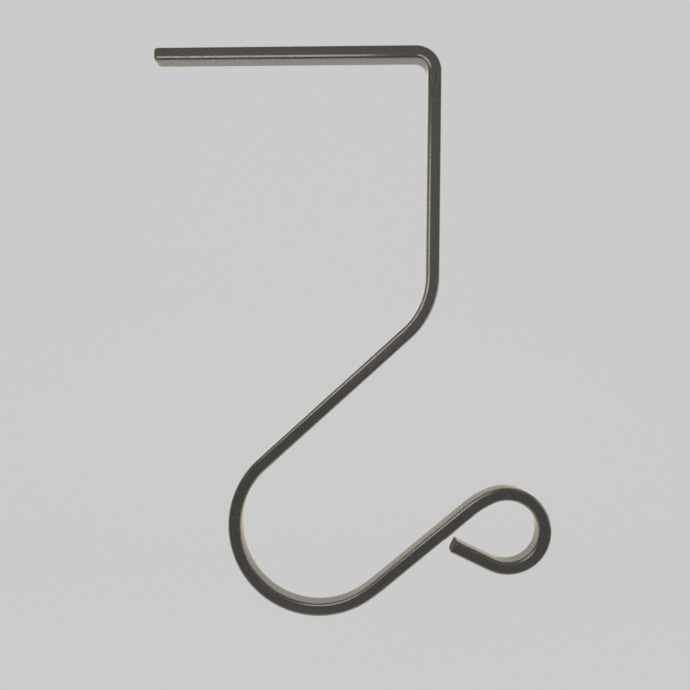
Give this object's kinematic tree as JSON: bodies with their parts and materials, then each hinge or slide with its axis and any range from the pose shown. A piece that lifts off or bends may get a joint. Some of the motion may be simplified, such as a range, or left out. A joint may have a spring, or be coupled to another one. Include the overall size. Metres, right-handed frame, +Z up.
{
  "type": "mantel hook",
  "caption": "Bent square-bar hook: an arm lies on the shelf, the bar wraps down its front and back beneath to a round cradle, then climbs to a closed eye.",
  "frame": {"origin": "middle of the arm's flat underside, where the hook rests on top of the shelf", "axes": "+Z up as the hook hangs, +X out into the room, from the arm's free end towards the leg, Y across the bar's thickness; the bar is bent in the XZ plane and is symmetric about it"},
  "size_m": [0.1405, 0.0048, 0.1997],
  "materials": {
    "bar_metal": "dark satin nickel plate over steel, drawn lengthwise"
  },
  "bodies": {
    "root": {"hook_bar": "bar_metal"}
  },
  "joints": []
}
